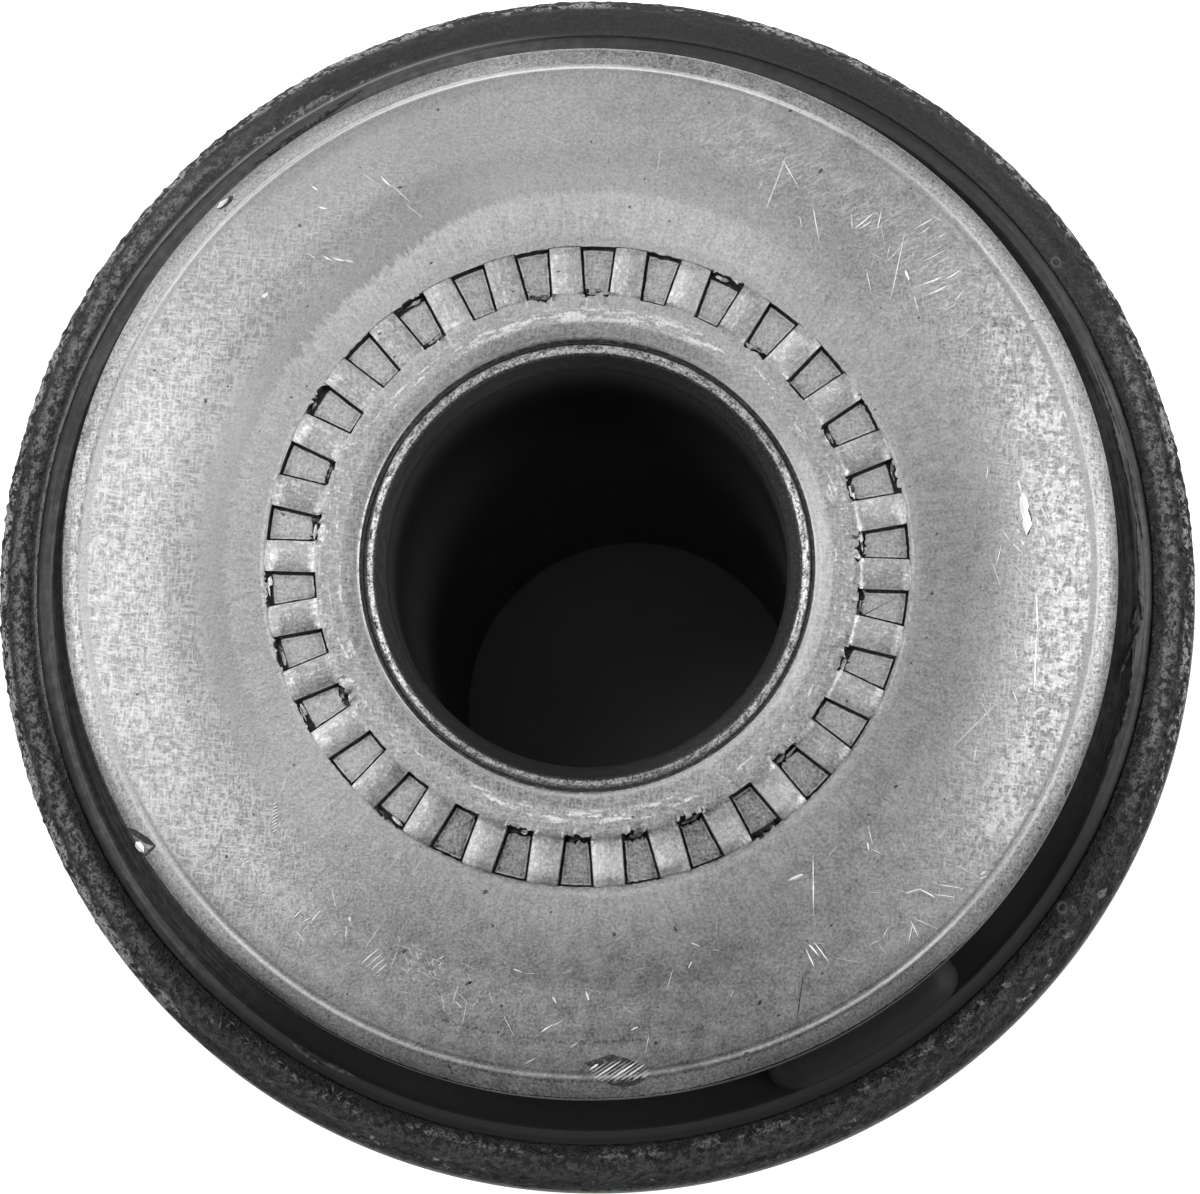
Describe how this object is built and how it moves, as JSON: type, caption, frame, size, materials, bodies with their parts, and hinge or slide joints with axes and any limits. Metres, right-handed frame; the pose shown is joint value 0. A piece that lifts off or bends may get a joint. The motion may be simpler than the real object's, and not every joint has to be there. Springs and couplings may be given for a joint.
{
  "type": "rubber metal bush",
  "caption": "Suspension bush with a plain inner sleeve, a flanged outer sleeve, bonded rubber with two bump stops and a serrated stop disc.",
  "frame": {"origin": "centre of the bore at the lower end of the inner sleeve, on which the bush stands", "axes": "+Z along the bore towards the serrated stop disc, +Y through one of the two bump stops"},
  "size_m": [0.0742, 0.0742, 0.0887],
  "materials": {
    "sleeve_steel": "satin",
    "disc_steel": "satin",
    "black_rubber": "satin",
    "coated_steel": "matte"
  },
  "bodies": {
    "root": {"inner_sleeve": "sleeve_steel", "stop_disc": "disc_steel", "rubber_body": "black_rubber", "outer_sleeve": "coated_steel"}
  },
  "joints": []
}
